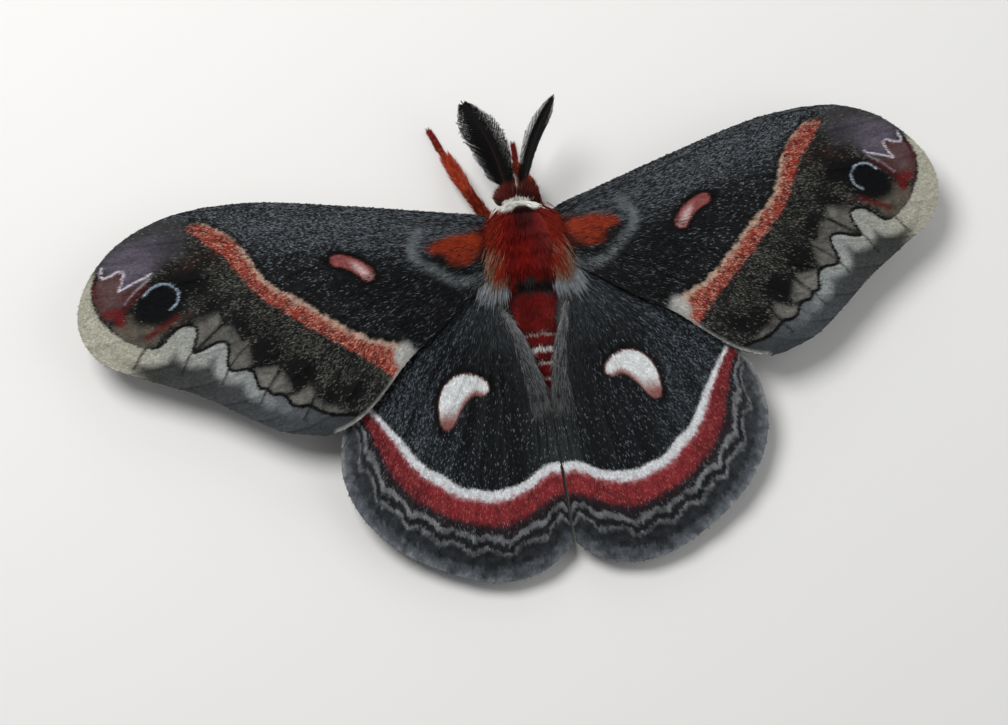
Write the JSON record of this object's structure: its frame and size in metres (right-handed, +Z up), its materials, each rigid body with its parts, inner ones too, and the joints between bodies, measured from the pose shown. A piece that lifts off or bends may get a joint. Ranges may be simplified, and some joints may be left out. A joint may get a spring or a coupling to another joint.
{
  "type": "cecropia moth",
  "caption": "Large giant silk moth at rest with its patterned wings spread flat, feathery antennae and a furry body, as a still life-size museum model.",
  "frame": {"origin": "on the floor, under the middle of the moth's own box", "axes": "+Y towards the head, +X towards the moth's right wing, +Z up"},
  "size_m": [0.1348, 0.0744, 0.0148],
  "materials": {
    "head_fur": "short red-brown fur",
    "eye": "dark glossy compound eye",
    "antenna": "near-black horn with fine hairs",
    "collar_fur": "white fur",
    "thorax_fur": "long deep red fur",
    "abdomen_fur": "short red fur with white bands",
    "forewing": "matt scales, charcoal dusted with white",
    "hindwing": "matt scales, charcoal with a crimson band",
    "leg_fur": "short rust-red fur"
  },
  "bodies": {
    "root": {"head": "head_fur", "eye_left": "eye", "eye_right": "eye", "antenna_left": "antenna", "antenna_right": "antenna", "collar": "collar_fur", "thorax": "thorax_fur", "abdomen": "abdomen_fur", "forewing_left": "forewing", "forewing_right": "forewing", "hindwing_left": "hindwing", "hindwing_right": "hindwing", "leg_fore_left": "leg_fur", "leg_fore_right": "leg_fur", "leg_mid_left": "leg_fur", "leg_mid_right": "leg_fur", "leg_hind_left": "leg_fur", "leg_hind_right": "leg_fur"}
  },
  "joints": []
}
